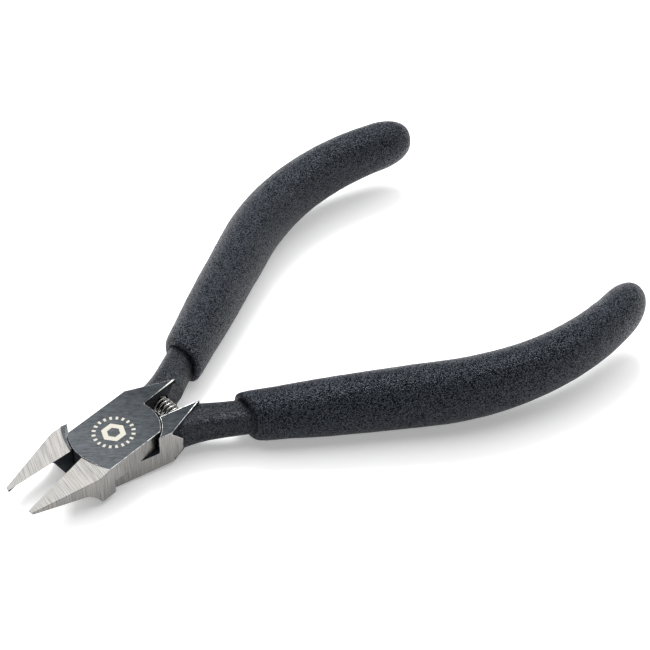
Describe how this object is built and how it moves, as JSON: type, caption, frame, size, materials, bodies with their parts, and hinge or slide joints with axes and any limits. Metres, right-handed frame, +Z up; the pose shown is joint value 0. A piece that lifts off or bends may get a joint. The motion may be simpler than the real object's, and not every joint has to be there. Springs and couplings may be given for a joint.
{
  "type": "sprue nippers",
  "caption": "Lap-jointed flush side cutter with bevelled pointed jaws, a coil return spring and soft grained handle grips.",
  "frame": {"origin": "on the pivot axis, at the flat underside of the joint", "axes": "+X from the pivot towards the handles along the line that halves the open tool (the tips point to -X), +Z up along the pivot axis, out of the flush cutting side"},
  "size_m": [0.1285, 0.0848, 0.0141],
  "materials": {
    "forged_steel": "black oxide on forged steel, ground bright on the blades and side flats",
    "rivet_steel": "black oxide, ground flush",
    "spring_steel": "bright drawn wire",
    "grip": "fine grained matt, dark blue-black"
  },
  "bodies": {
    "lower_side": {"lower_half": "forged_steel", "pivot_rivet": "rivet_steel", "return_spring": "spring_steel", "lower_handle_grip": "grip"},
    "upper_side": {"upper_half": "forged_steel", "upper_handle_grip": "grip"}
  },
  "joints": [
    {"name": "pivot", "type": "hinge", "parent": "lower_side", "child": "upper_side", "pos_m": [0, 0, 0.00385], "axis": [0, 0, -1], "range_deg": [0, 16], "stiffness_Nm_per_rad": 0.3, "springref_deg": -9.74, "deforming": ["return_spring"]}
  ]
}
